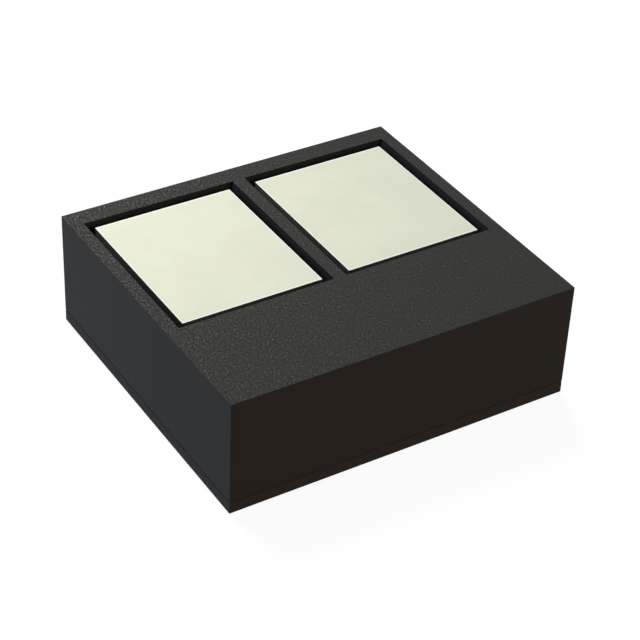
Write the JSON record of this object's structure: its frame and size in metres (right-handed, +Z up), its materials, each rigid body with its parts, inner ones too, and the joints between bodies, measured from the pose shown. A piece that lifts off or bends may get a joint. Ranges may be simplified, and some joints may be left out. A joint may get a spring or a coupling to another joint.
{
  "type": "infrared sensor",
  "caption": "Flat surface-mount infrared sensor: a black moulded cap with side-by-side pale filter windows, sealed to a thin board with gold-plated lands.",
  "frame": {"origin": "middle of the outline, on the plane of the lands' undersides", "axes": "+Z up out of the filter windows, +X across the two windows, -Y towards the closed front strip"},
  "size_m": [0.0062, 0.0056, 0.0021],
  "materials": {
    "cap_plastic": "fine-grained moulded black",
    "board_laminate": "satin black solder mask",
    "land_gold": "satin gold plating over copper",
    "via_copper": "plated copper",
    "seal_epoxy": "cured black epoxy",
    "filter_coating": "smooth cream interference coating on silicon",
    "filter_bond": "cured black adhesive",
    "silicon": "polished silicon",
    "sensing_film": "thin film with electrode",
    "chip_bond": "grey die adhesive",
    "bond_wire": "drawn gold wire",
    "capacitor_ceramic": "fired ceramic",
    "tin": "plated tin",
    "solder": "reflowed solder"
  },
  "bodies": {
    "root": {"board": "board_laminate", "board_vias": "via_copper", "land_1": "land_gold", "land_2": "land_gold", "land_3": "land_gold", "land_4": "land_gold", "land_5": "land_gold", "land_6": "land_gold", "land_7": "land_gold", "land_8": "land_gold", "cap": "cap_plastic", "cap_seal": "seal_epoxy", "filter_left": "filter_coating", "filter_adhesive_left": "filter_bond", "detector_chip_left": "silicon", "sensing_film_left": "sensing_film", "detector_adhesive_left": "chip_bond", "detector_wires_left": "bond_wire", "capacitor_left": "capacitor_ceramic", "capacitor_ends_left": "tin", "filter_right": "filter_coating", "filter_adhesive_right": "filter_bond", "detector_chip_right": "silicon", "sensing_film_right": "sensing_film", "detector_adhesive_right": "chip_bond", "detector_wires_right": "bond_wire", "capacitor_right": "capacitor_ceramic", "capacitor_ends_right": "tin", "readout_chip": "silicon", "readout_adhesive": "chip_bond", "readout_wires": "bond_wire", "bond_fingers": "land_gold", "capacitor_pads": "land_gold", "capacitor_solder": "solder"}
  },
  "joints": []
}
